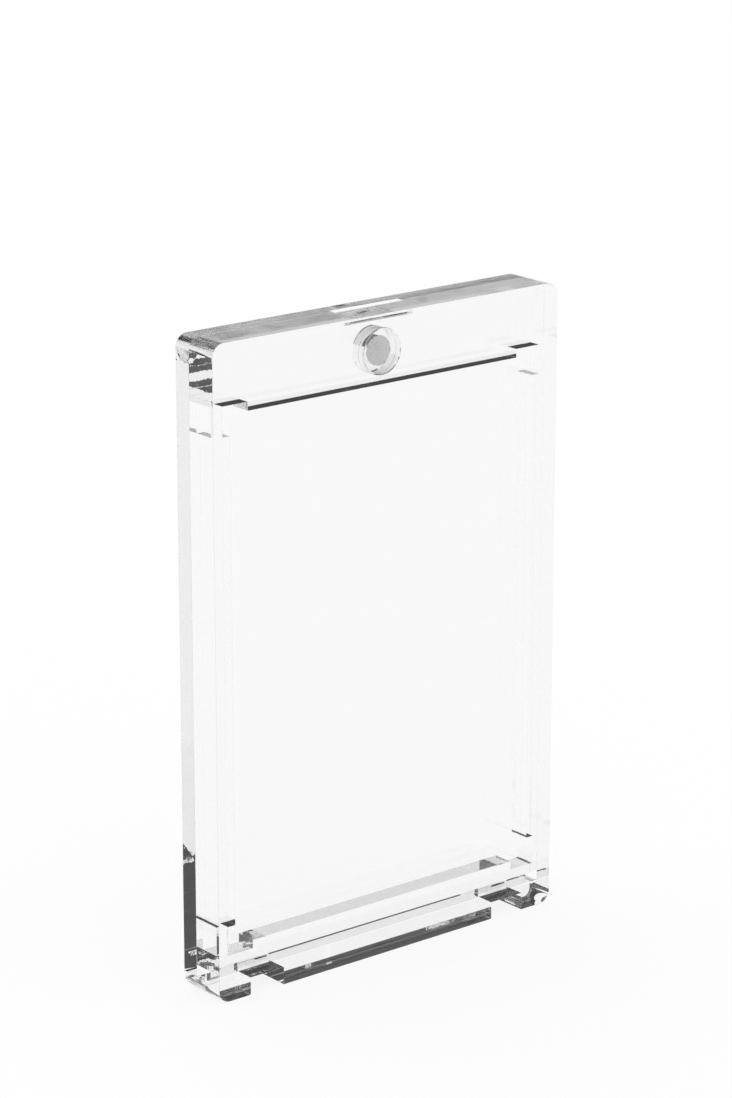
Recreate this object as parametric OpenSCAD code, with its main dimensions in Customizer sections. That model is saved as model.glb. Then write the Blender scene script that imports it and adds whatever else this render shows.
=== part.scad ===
// Magnetic trading card display case: two clear moulded shells that close
// face to face around one card and stand on their bottom edge.
// Millimetres, +Z up, the front faces -Y. The origin is on the standing
// surface, in the middle of the case's width and thickness.

/* [Case] */
// Width of both shells
case_w = 73; // [70:0.5:82]
// Height of the closed case
case_h = 112; // [111.5:0.5:124]
// Radius of the outline's corners
corner_r = 2.2; // [1:0.1:2.6]
// Thickness of the front shell's window in front of the card
window_t = 2.35; // [2:0.05:4]
// Thickness of the back shell
back_t = 3.5; // [3.2:0.1:5]
// Gap between the two shells where they meet
parting_gap = 0.02; // [0.01:0.01:0.1]

/* [Card well] */
// Width of the well that holds the card
well_w = 64.2; // [62:0.1:65]
// Height of the well
well_h = 90.8; // [88:0.1:91.2]
// Depth of the well, open towards the back shell
well_depth = 3.85; // [3:0.05:4.6]
// Height of the well's floor above the standing surface
well_floor = 9; // [8:0.1:10]
// Side of the square pocket that keeps each card corner free
relief_size = 5.1; // [4:0.1:6]
// How far each corner pocket reaches past the well's walls
relief_over = 1.5; // [1:0.1:2]

/* [Pry slot] */
// Length of the fingernail slot in the middle of the top edge
slot_w = 14.5; // [10:0.5:20]
// Depth of the slot below the top edge
slot_depth = 1.8; // [1:0.1:2]
// How far the slot bites into the front shell
slot_front = 0.7; // [0.3:0.1:1.2]
// How far the slot bites into the back shell
slot_back = 0.9; // [0.5:0.1:1.5]

/* [Foot ledge] */
// Height of the ledge that runs from the front shell under the back shell
ledge_h = 3; // [2.5:0.1:3.4]
// Size of the bevel on the ledge's lower back edge
ledge_bevel = 1.75; // [1:0.05:2.2]
// Width of each of the two notches in the bottom edge
notch_w = 7; // [6:0.5:9]
// Distance from the middle of the case to each notch
notch_from_middle = 23; // [20:0.5:24]
// Height of each notch above the standing surface
notch_h = 3.1; // [2.8:0.1:3.6]

/* [Hinge tabs] */
// Thickness of each tab of the back shell
tab_t = 1; // [0.8:0.1:1.2]
// Distance from the standing surface to the tab's tip
tab_tip = 1; // [0.6:0.1:1.4]
// Bevel on the tab's lower front edge
tab_bevel = 0.7; // [0.5:0.1:0.8]
// Play on each side of a tab in its notch
tab_side_play = 0.2; // [0.1:0.05:0.4]
// Play between a tab and the ledge's bar behind it
tab_back_play = 0.15; // [0.1:0.05:0.3]
// Thickness of the ledge's bar behind each tab
bar_t = 1.9; // [1.2:0.1:2]
// Gap between the back shell's heel and the ledge
heel_gap = 0.2; // [0.1:0.05:0.3]
// Height of the slope under the back shell, from its heel to the parting face
slope_h = 1.5; // [1:0.1:2.2]

/* [Closure] */
// Diameter of the magnet and of the steel striker disc
disc_d = 5; // [4:0.5:6]
// Thickness of the magnet in the back shell
magnet_t = 1.8; // [1:0.1:2]
// Thickness of the steel striker disc in the front shell
striker_t = 0.5; // [0.4:0.1:0.8]
// Diameter of the two round pockets that hold the plugs
pocket_d = 8; // [7.5:0.1:9]
// Depth of the front shell's pocket
front_pocket = 2.2; // [1.5:0.1:3]
// Depth of the back shell's pocket
back_pocket = 2.9; // [2.2:0.1:3]
// Distance from the top edge down to the closure's centre
closure_drop = 7; // [6.5:0.1:7.3]
// Gap round each plug in its pocket
plug_gap = 0.05; // [0.03:0.01:0.1]
// Gap round each metal disc in its plug
disc_gap = 0.05; // [0.03:0.01:0.1]

/* [Hidden] */
$fn = 96;

clear_acrylic = [0.93, 0.95, 0.96, 0.35];
plug_acrylic = [0.85, 0.9, 0.95, 0.5];
steel_grey = [0.66, 0.66, 0.67];
nickel_grey = [0.72, 0.72, 0.74];

// a cut runs this far past the face that it opens
over = 1;

// planes along Y, from the front face to the back face
case_t = window_t + well_depth + back_t;
y_front = -case_t / 2;
y_window = y_front + window_t;
y_parting = y_window + well_depth;
y_back = case_t / 2;
front_rear_face = y_parting - parting_gap / 2;
back_front_face = y_parting + parting_gap / 2;

// heights along Z
well_top = well_floor + well_h;
closure_z = case_h - closure_drop;
heel_z = ledge_h + heel_gap;
slope_z = heel_z + slope_h;

// tabs and the slots that hold them
bar_front = y_back - bar_t;
tab_back = bar_front - tab_back_play;
tab_front = tab_back - tab_t;
notch_mid = notch_from_middle + notch_w / 2;
tab_w = notch_w - 2 * tab_side_play;

// A prism with an XZ outline between two planes along Y.
module slab(y_from, y_to) {
    translate([0, y_to, 0])
        rotate([90, 0, 0])
            linear_extrude(y_to - y_from)
                children();
}

// A prism with a YZ profile, centred on X.
module bar(length) {
    translate([-length / 2, 0, 0])
        rotate([90, 0, 90])
            linear_extrude(length)
                children();
}

// The same shape on the left and on the right.
module both_sides() {
    children();
    mirror([1, 0, 0]) children();
}

// A disc-shaped prism on the closure's axis.
module closure_disc(d, y_from, y_to) {
    slab(y_from, y_to) translate([0, closure_z]) circle(d = d);
}

// Outline of the whole case: a rectangle with round corners.
module case_outline() {
    translate([-case_w / 2 + corner_r, 0])
        square([case_w - 2 * corner_r, case_h]);
    translate([-case_w / 2, corner_r])
        square([case_w, case_h - 2 * corner_r]);
    for (x = [-1, 1], z = [corner_r, case_h - corner_r])
        translate([x * (case_w / 2 - corner_r), z])
            circle(corner_r);
}

// Outline of the card well with its four square corner pockets.
module well_outline() {
    translate([-well_w / 2, well_floor])
        square([well_w, well_h]);
    pocket_mid = relief_size / 2 - relief_over;
    for (x = [-1, 1], z = [well_floor + pocket_mid, well_top - pocket_mid])
        translate([x * (well_w / 2 - pocket_mid), z])
            square(relief_size, center = true);
}

// Ledge profile: a bar with a bevel on its lower back edge.
module ledge_profile() {
    polygon([
        [y_front, 0],
        [y_front, ledge_h],
        [y_back, ledge_h],
        [y_back, ledge_bevel],
        [y_back - ledge_bevel, 0]
    ]);
}

// Notch profile: a flat ceiling as far as the parting face, then the open
// slot in the ledge where a tab hangs.
module notch_profile() {
    slot_top = max(notch_h, ledge_h) + over;
    polygon([
        [y_front - over, -over],
        [y_front - over, notch_h],
        [y_parting, notch_h],
        [y_parting, slot_top],
        [bar_front, slot_top],
        [bar_front, -over]
    ]);
}

// Underside of the back shell: the slope from its heel to the parting face
// lets the shell tip back over the ledge.
module back_profile() {
    polygon([
        [back_front_face, slope_z],
        [back_front_face, case_h],
        [y_back, case_h],
        [y_back, heel_z]
    ]);
}

// Tab profile: a short tongue with a bevelled tip.
module tab_profile() {
    root_z = slope_z;
    polygon([
        [tab_front, root_z],
        [tab_back, root_z],
        [tab_back, tab_tip],
        [tab_front + tab_bevel, tab_tip],
        [tab_front, tab_tip + tab_bevel]
    ]);
}

// Cut for the fingernail slot, across the parting plane.
module pry_slot() {
    translate([-slot_w / 2, y_parting - slot_front, case_h - slot_depth])
        cube([slot_w, slot_front + slot_back, slot_depth + over]);
}

// Front shell: window, card well, foot ledge with two notches.
module front_shell() {
    color(clear_acrylic)
    difference() {
        union() {
            slab(y_front, front_rear_face) case_outline();
            intersection() {
                slab(y_front, y_back) case_outline();
                bar(case_w) ledge_profile();
            }
        }
        slab(y_window, front_rear_face + over) well_outline();
        both_sides()
            translate([notch_mid, 0, 0])
                bar(notch_w) notch_profile();
        pry_slot();
        closure_disc(pocket_d, front_rear_face - front_pocket, front_rear_face + over);
    }
}

// Back shell: flat plate with two tabs that hang in the ledge's slots.
module back_shell() {
    color(clear_acrylic)
    difference() {
        union() {
            intersection() {
                slab(back_front_face, y_back) case_outline();
                bar(case_w) back_profile();
            }
            both_sides()
                translate([notch_mid, 0, 0])
                    bar(tab_w) tab_profile();
        }
        pry_slot();
        closure_disc(pocket_d, back_front_face - over, back_front_face + back_pocket);
    }
}

// Clear plug with a seat for a metal disc in the face that meets the other
// shell. seat_y is that face and dir points into the plug's own shell.
module plug(seat_y, depth, disc_t, dir) {
    plug_d = pocket_d - 2 * plug_gap;
    disc_seat_d = disc_d + 2 * disc_gap;
    far_y = seat_y + dir * (depth - plug_gap);
    seat_floor = seat_y + dir * (disc_t + disc_gap);
    mouth_y = seat_y - dir * over;
    difference() {
        closure_disc(plug_d, min(seat_y, far_y), max(seat_y, far_y));
        closure_disc(disc_seat_d, min(mouth_y, seat_floor), max(mouth_y, seat_floor));
    }
}

module striker_plug() {
    color(plug_acrylic) plug(front_rear_face, front_pocket, striker_t, -1);
}

module striker_disc() {
    color(steel_grey)
        closure_disc(disc_d, front_rear_face - striker_t, front_rear_face);
}

module magnet_plug() {
    color(plug_acrylic) plug(back_front_face, back_pocket, magnet_t, 1);
}

module magnet() {
    color(nickel_grey)
        closure_disc(disc_d, back_front_face, back_front_face + magnet_t);
}

front_shell();
back_shell();
striker_plug();
striker_disc();
magnet_plug();
magnet();
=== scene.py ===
"""A clear case for one trading card: two moulded acrylic halves that a magnet holds shut, with the
magnet and its steel striker under clear plugs. It stands on a plain pale floor."""

import math

import bmesh
import bpy
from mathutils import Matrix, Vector


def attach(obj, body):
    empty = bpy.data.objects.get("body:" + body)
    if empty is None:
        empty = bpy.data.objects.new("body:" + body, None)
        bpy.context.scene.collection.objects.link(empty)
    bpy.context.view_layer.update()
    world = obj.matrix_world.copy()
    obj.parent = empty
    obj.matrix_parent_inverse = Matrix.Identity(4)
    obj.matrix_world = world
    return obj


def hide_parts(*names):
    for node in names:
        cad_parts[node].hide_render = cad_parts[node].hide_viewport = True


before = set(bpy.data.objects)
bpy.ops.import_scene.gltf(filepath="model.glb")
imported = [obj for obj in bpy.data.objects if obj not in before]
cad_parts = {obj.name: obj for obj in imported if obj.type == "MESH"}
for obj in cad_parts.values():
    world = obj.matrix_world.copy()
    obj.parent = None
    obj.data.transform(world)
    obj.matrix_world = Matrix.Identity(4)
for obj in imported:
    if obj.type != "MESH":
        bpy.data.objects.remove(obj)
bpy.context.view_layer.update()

MM = 0.001
scene = bpy.context.scene

CASE_HEIGHT = 112 * MM

# The closure: two round pockets on an axis along Y. Each plug starts at its shell's parting face
# and overlaps its pocket's wall by PRESS_FIT, so that light goes straight from one to the other.
CLOSURE_HEIGHT = 105 * MM
POCKET_RADIUS = 4 * MM
PRESS_FIT = 0.02 * MM
PLUG_LEAD_IN = 0.25 * MM
SEAT_RADIUS = 2.55 * MM
FRONT_PARTING_FACE = 1.34 * MM
BACK_PARTING_FACE = 1.36 * MM
STRIKER_PLUG_LENGTH = 2.15 * MM
STRIKER_SEAT_DEPTH = 0.55 * MM
MAGNET_PLUG_LENGTH = 2.85 * MM
MAGNET_SEAT_DEPTH = 1.85 * MM
TURNING_STEPS = 128
MERGE_DISTANCE = 0.001 * MM

# The photograph's camera.
CAMERA_AIM = Vector((-1.3, 0.0, 70.9)) * MM
CAMERA_AZIMUTH = math.radians(-39.23)
CAMERA_ELEVATION = math.radians(16.5)
CAMERA_DISTANCE = 634 * MM
CAMERA_LENS = 124.7
CAMERA_SENSOR = 36.0
CAMERA_CLIP = 0.01, 50


def linear(hex_colour):
    """An sRGB colour such as "F4F4F2" as linear RGBA."""
    channels = [int(hex_colour[i : i + 2], 16) / 255 for i in (0, 2, 4)]
    return [c / 12.92 if c <= 0.04045 else ((c + 0.055) / 1.055) ** 2.4 for c in channels] + [1.0]


def add(tree, kind, inputs=None, **settings):
    """A shader node with its settings. inputs gives each socket's value, or what feeds it."""
    node = tree.nodes.new("ShaderNode" + kind)
    for name, value in settings.items():
        setattr(node, name, value)
    for socket, value in (inputs or {}).items():
        if isinstance(value, bpy.types.NodeSocket):
            tree.links.new(value, node.inputs[socket])
        else:
            node.inputs[socket].default_value = value
    return node


def empty_tree(owner):
    """The node tree of a material or world, with nothing in it."""
    owner.use_nodes = True
    owner.node_tree.nodes.clear()
    return owner.node_tree


# Materials

ACRYLIC_TINT = "FCFCFC"
ACRYLIC_IOR = 1.49
# Absorbed per metre, in all colours alike: about 15 % of the light over 100 mm.
ACRYLIC_ABSORPTION = 1.6

# The finishes of the moulded halves. Each mask runs from none of a finish to all of it: the first
# two by how far a face's normal leans sideways or up, and the third by height, so that the nail
# slot's floor stays clear.
SIDE_MASK = 0.8, 0.95
TOP_MASK = 0.2, 0.6
TOP_HEIGHTS = CASE_HEIGHT - 1.6 * MM, CASE_HEIGHT - 0.8 * MM
SIDE_WAVE_LENGTH = 1.25 * MM
SIDE_WAVE_HEIGHT = 0.014 * MM
EDGE_RADIUS = 0.1 * MM
BUFFING_GRAIN = 0.5 * MM
TOP_ROUGHNESS = 0.13
TOP_ROUGHNESS_SPREAD = 0.02

# The plugs. This scale of the wave texture sets its rings 2.5 mm apart.
TURNING_MARK_SCALE = 125.0
TURNING_MARK_ROUGHNESS = 0.03

# The metal discs.
PLATING_GRAIN = MM / 3
PLATING_GRAIN_HEIGHT = 0.01 * MM
PLATING_ROUGHNESS_SPREAD = 0.08
PLATING_SPOTS = 0.35, 0.65

# Nearly all values of a noise texture lie between these.
NOISE_LOW, NOISE_HIGH = 0.3, 0.7


def acrylic_output(tree, finish):
    """Clear PMMA with light absorbed inside it. finish gives the sockets that its surface sets."""
    body = {"Base Color": linear(ACRYLIC_TINT), "IOR": ACRYLIC_IOR, "Transmission Weight": 1.0}
    surface = add(tree, "BsdfPrincipled", {**body, **finish})
    inside = {"Color": linear("000000"), "Density": ACRYLIC_ABSORPTION}
    depth = add(tree, "VolumeAbsorption", inside)
    add(tree, "OutputMaterial", {"Surface": surface.outputs[0], "Volume": depth.outputs[0]})


def clear_acrylic(name):
    """Clear PMMA, injection moulded. The large faces come off polished steel and are dead smooth.
    The narrow sides are faintly wavy, where the moulding shrank. The top was cut off the gate and
    buffed, so it is satin and spreads the light that the case carries up to it."""
    material = bpy.data.materials.new(name)
    tree = empty_tree(material)
    coordinates = add(tree, "TexCoord").outputs
    place = coordinates["Object"]
    height = add(tree, "SeparateXYZ", {0: place}).outputs["Z"]
    facing = add(tree, "SeparateXYZ", {0: coordinates["Normal"]}).outputs

    # The shrinkage waves, over edges that the mould eases.
    sideways = add(tree, "Math", {0: facing["X"]}, operation="ABSOLUTE")
    side = add(tree, "MapRange", {0: sideways.outputs[0], 1: SIDE_MASK[0], 2: SIDE_MASK[1]})
    noise = {"Vector": place, "Scale": 1 / SIDE_WAVE_LENGTH, "Detail": 2.0}
    waves = add(tree, "TexNoise", noise).outputs["Fac"]
    side_waves = add(tree, "Math", {0: waves, 1: side.outputs[0]}, operation="MULTIPLY")
    eased = add(tree, "Bevel", {"Radius": EDGE_RADIUS}, samples=4)
    relief = {"Height": side_waves.outputs[0], "Distance": SIDE_WAVE_HEIGHT}
    normal = add(tree, "Bump", {**relief, "Strength": 1.0, "Normal": eased.outputs[0]})

    # The grains that buffing leaves on the top and on the upper part of its round corners.
    upright = add(tree, "Math", {0: facing["Z"]}, operation="ABSOLUTE")
    upward = add(tree, "MapRange", {0: upright.outputs[0], 1: TOP_MASK[0], 2: TOP_MASK[1]})
    topmost = add(tree, "MapRange", {0: height, 1: TOP_HEIGHTS[0], 2: TOP_HEIGHTS[1]})
    top = add(tree, "Math", {0: upward.outputs[0], 1: topmost.outputs[0]}, operation="MULTIPLY")
    noise = {"Vector": place, "Scale": 1 / BUFFING_GRAIN, "Detail": 2.0}
    grains = add(tree, "TexNoise", noise).outputs["Fac"]
    finest, coarsest = TOP_ROUGHNESS - TOP_ROUGHNESS_SPREAD, TOP_ROUGHNESS + TOP_ROUGHNESS_SPREAD
    satin = add(tree, "MapRange", {0: grains, 1: NOISE_LOW, 2: NOISE_HIGH, 3: finest, 4: coarsest})
    roughness = add(tree, "Math", {0: top.outputs[0], 1: satin.outputs[0]}, operation="MULTIPLY")

    acrylic_output(tree, {"Roughness": roughness.outputs[0], "Normal": normal.outputs[0]})
    return material


def turned_acrylic(name):
    """Clear cast acrylic rod, turned and flame polished. It is pressed into its pocket and fills
    it, so light goes straight through the wall between them. The turning marks are faint rings of
    less polish, far coarser than real ones, which would be too fine to show."""
    material = bpy.data.materials.new(name)
    tree = empty_tree(material)
    place = add(tree, "TexCoord").outputs["Object"]
    centred = add(tree, "VectorMath", {0: place, 1: (0, 0, -CLOSURE_HEIGHT)}, operation="ADD")
    pattern = {"Vector": centred.outputs[0], "Scale": TURNING_MARK_SCALE, "Distortion": 1.0}
    rings = add(tree, "TexWave", pattern, wave_type="RINGS", rings_direction="Y").outputs["Fac"]
    polish = add(tree, "MapRange", {0: rings, 4: TURNING_MARK_ROUGHNESS})
    acrylic_output(tree, {"Roughness": polish.outputs[0]})
    return material


def plated_disc(name, bright, dull, roughness):
    """Barrel-plated nickel or tumbled steel: a satin grey that is mottled where the grains met. The
    grains are as coarse as they need to be to show."""
    material = bpy.data.materials.new(name)
    tree = empty_tree(material)
    place = add(tree, "TexCoord").outputs["Object"]
    noise = {"Vector": place, "Scale": 1 / PLATING_GRAIN, "Detail": 3.0}
    grain = add(tree, "TexNoise", noise).outputs["Fac"]
    spots = add(tree, "MapRange", {0: grain, 1: PLATING_SPOTS[0], 2: PLATING_SPOTS[1]})
    greys = {0: spots.outputs[0], 6: linear(dull), 7: linear(bright)}
    colour = add(tree, "Mix", greys, data_type="RGBA")
    finest, coarsest = roughness - PLATING_ROUGHNESS_SPREAD, roughness + PLATING_ROUGHNESS_SPREAD
    satin = add(tree, "MapRange", {0: grain, 1: NOISE_LOW, 2: NOISE_HIGH, 3: finest, 4: coarsest})
    relief = {"Height": grain, "Strength": 1.0, "Distance": PLATING_GRAIN_HEIGHT}
    normal = add(tree, "Bump", relief)
    surface = add(
        tree,
        "BsdfPrincipled",
        {
            "Base Color": colour.outputs[2],
            "Metallic": 1.0,
            "Roughness": satin.outputs[0],
            "Normal": normal.outputs[0],
        },
    )
    add(tree, "OutputMaterial", {"Surface": surface.outputs[0]})
    return material


moulded_acrylic = clear_acrylic("moulded_acrylic")
plug_acrylic = turned_acrylic("turned_acrylic")
tumbled_steel = plated_disc("tumbled_steel", "E4E4E4", "C6C6C6", 0.35)
nickel_plate = plated_disc("nickel_plate", "E8E8E8", "CCCCCC", 0.3)

for node, material in {
    "front_shell": moulded_acrylic,
    "back_shell": moulded_acrylic,
    "striker_disc": tumbled_steel,
    "magnet": nickel_plate,
}.items():
    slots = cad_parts[node].data.materials
    slots.clear()
    slots.append(material)


# Plugs


def pressed_plug(name, node, body, parting_face, length, seat_depth, inward):
    """A round plug with a seat for a metal disc. inward is -1 or 1 along Y, into its own shell."""
    radius = POCKET_RADIUS + PRESS_FIT
    bm = bmesh.new()
    profile = [
        bm.verts.new((r, parting_face + inward * depth, CLOSURE_HEIGHT))
        for r, depth in (
            (0, seat_depth),
            (SEAT_RADIUS, seat_depth),
            (SEAT_RADIUS, 0),
            (radius, 0),
            (radius, length - PLUG_LEAD_IN),
            (radius - PLUG_LEAD_IN, length),
            (0, length),
        )
    ]
    edges = [bm.edges.new(pair) for pair in zip(profile, profile[1:])]
    bmesh.ops.spin(
        bm,
        geom=profile + edges,
        cent=(0, 0, CLOSURE_HEIGHT),
        axis=(0, 1, 0),
        angle=math.tau,
        steps=TURNING_STEPS,
        use_merge=True,
    )
    bmesh.ops.remove_doubles(bm, verts=bm.verts, dist=MERGE_DISTANCE)
    bmesh.ops.recalc_face_normals(bm, faces=bm.faces)
    mesh = bpy.data.meshes.new(name)
    bm.to_mesh(mesh)
    bm.free()
    mesh.materials.append(plug_acrylic)
    plug = bpy.data.objects.new(name, mesh)
    scene.collection.objects.link(plug)
    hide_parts(node)
    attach(plug, body)


pressed_plug(
    "pressed_striker_plug",
    "striker_plug",
    "front",
    FRONT_PARTING_FACE,
    STRIKER_PLUG_LENGTH,
    STRIKER_SEAT_DEPTH,
    -1,
)
pressed_plug(
    "pressed_magnet_plug",
    "magnet_plug",
    "back",
    BACK_PARTING_FACE,
    MAGNET_PLUG_LENGTH,
    MAGNET_SEAT_DEPTH,
    1,
)


# Studio


FLOOR_WIDTH = 12.0
FLOOR_GAP = 0.05 * MM
FLOOR_PAINT = "FDFDFD"
# The floor glows white and keeps this share of its paint, and with it of the object's shadow. What
# the acrylic carries to the eye from right under the case is lit through it, with less shadow.
FLOOR_SHADOW = 0.12
CARRIED_SHADOW = 0.03

# The white backdrop ends this far above the horizon, as the sine of the angle. Over it is the dark
# studio, which clear edges pick up as their dark lines.
BACKDROP_TOP = 0.205
BACKDROP_SOFTNESS = 0.006
DARK_STUDIO = "262626"


def through_acrylic(path):
    """1 for a ray that the acrylic reflected or bent, and 0 for any other."""
    tree = path["Is Camera Ray"].id_data
    rays = {0: path["Is Glossy Ray"], 1: path["Is Transmission Ray"]}
    return add(tree, "Math", rays, operation="MAXIMUM").outputs[0]


def build_floor():
    mesh = bpy.data.meshes.new("floor")
    bm = bmesh.new()
    bmesh.ops.create_grid(bm, x_segments=1, y_segments=1, size=FLOOR_WIDTH / 2)
    bmesh.ops.translate(bm, verts=bm.verts, vec=(0, 0, -FLOOR_GAP))
    bm.to_mesh(mesh)
    bm.free()
    floor = bpy.data.objects.new("floor", mesh)
    scene.collection.objects.link(floor)

    material = bpy.data.materials.new("studio_floor")
    tree = empty_tree(material)
    paint = add(tree, "BsdfDiffuse", {"Color": linear(FLOOR_PAINT)})
    glow = add(tree, "Emission", {"Color": linear("FFFFFF"), "Strength": 1.0})
    path = add(tree, "LightPath").outputs
    straight = {0: path["Is Camera Ray"], 1: 1 - FLOOR_SHADOW}
    seen = add(tree, "Math", straight, operation="MULTIPLY")
    bent = {0: through_acrylic(path), 1: 1 - CARRIED_SHADOW}
    carried = add(tree, "Math", bent, operation="MULTIPLY")
    white = add(tree, "Math", {0: seen.outputs[0], 1: carried.outputs[0]}, operation="MAXIMUM")
    shown = add(tree, "MixShader", {0: white.outputs[0], 1: paint.outputs[0], 2: glow.outputs[0]})
    add(tree, "OutputMaterial", {"Surface": shown.outputs[0]})
    mesh.materials.append(material)


def build_studio():
    world = bpy.data.worlds.new("studio")
    scene.world = world
    tree = empty_tree(world)
    direction = add(tree, "TexCoord").outputs["Generated"]
    height = add(tree, "SeparateXYZ", {0: direction}).outputs["Z"]
    lowest, highest = BACKDROP_TOP - BACKDROP_SOFTNESS, BACKDROP_TOP + BACKDROP_SOFTNESS
    above = add(tree, "MapRange", {0: height, 1: lowest, 2: highest})
    in_acrylic = through_acrylic(add(tree, "LightPath").outputs)
    dark = add(tree, "Math", {0: above.outputs[0], 1: in_acrylic}, operation="MULTIPLY")
    white = add(tree, "Background", {"Color": linear("FFFFFF"), "Strength": 1.0})
    ceiling = add(tree, "Background", {"Color": linear(DARK_STUDIO), "Strength": 1.0})
    shown = add(tree, "MixShader", {0: dark.outputs[0], 1: white.outputs[0], 2: ceiling.outputs[0]})
    add(tree, "OutputWorld", {"Surface": shown.outputs[0]})


def build_camera():
    data = bpy.data.cameras.new("camera")
    data.lens = CAMERA_LENS
    data.sensor_width = CAMERA_SENSOR
    data.clip_start, data.clip_end = CAMERA_CLIP
    camera = bpy.data.objects.new("camera", data)
    scene.collection.objects.link(camera)
    away = Vector(
        (
            math.sin(CAMERA_AZIMUTH) * math.cos(CAMERA_ELEVATION),
            -math.cos(CAMERA_AZIMUTH) * math.cos(CAMERA_ELEVATION),
            math.sin(CAMERA_ELEVATION),
        )
    )
    camera.location = CAMERA_AIM + away * CAMERA_DISTANCE
    camera.rotation_euler = (-away).to_track_quat("-Z", "Y").to_euler()
    scene.camera = camera


build_floor()
build_studio()
build_camera()
scene.view_settings.view_transform = "Standard"

# Light runs along the inside of the acrylic and meets dozens of faces before it leaves.
LIGHT_BOUNCES = 64
scene.cycles.max_bounces = LIGHT_BOUNCES
scene.cycles.glossy_bounces = LIGHT_BOUNCES
scene.cycles.transmission_bounces = LIGHT_BOUNCES
scene.cycles.transparent_max_bounces = LIGHT_BOUNCES // 2
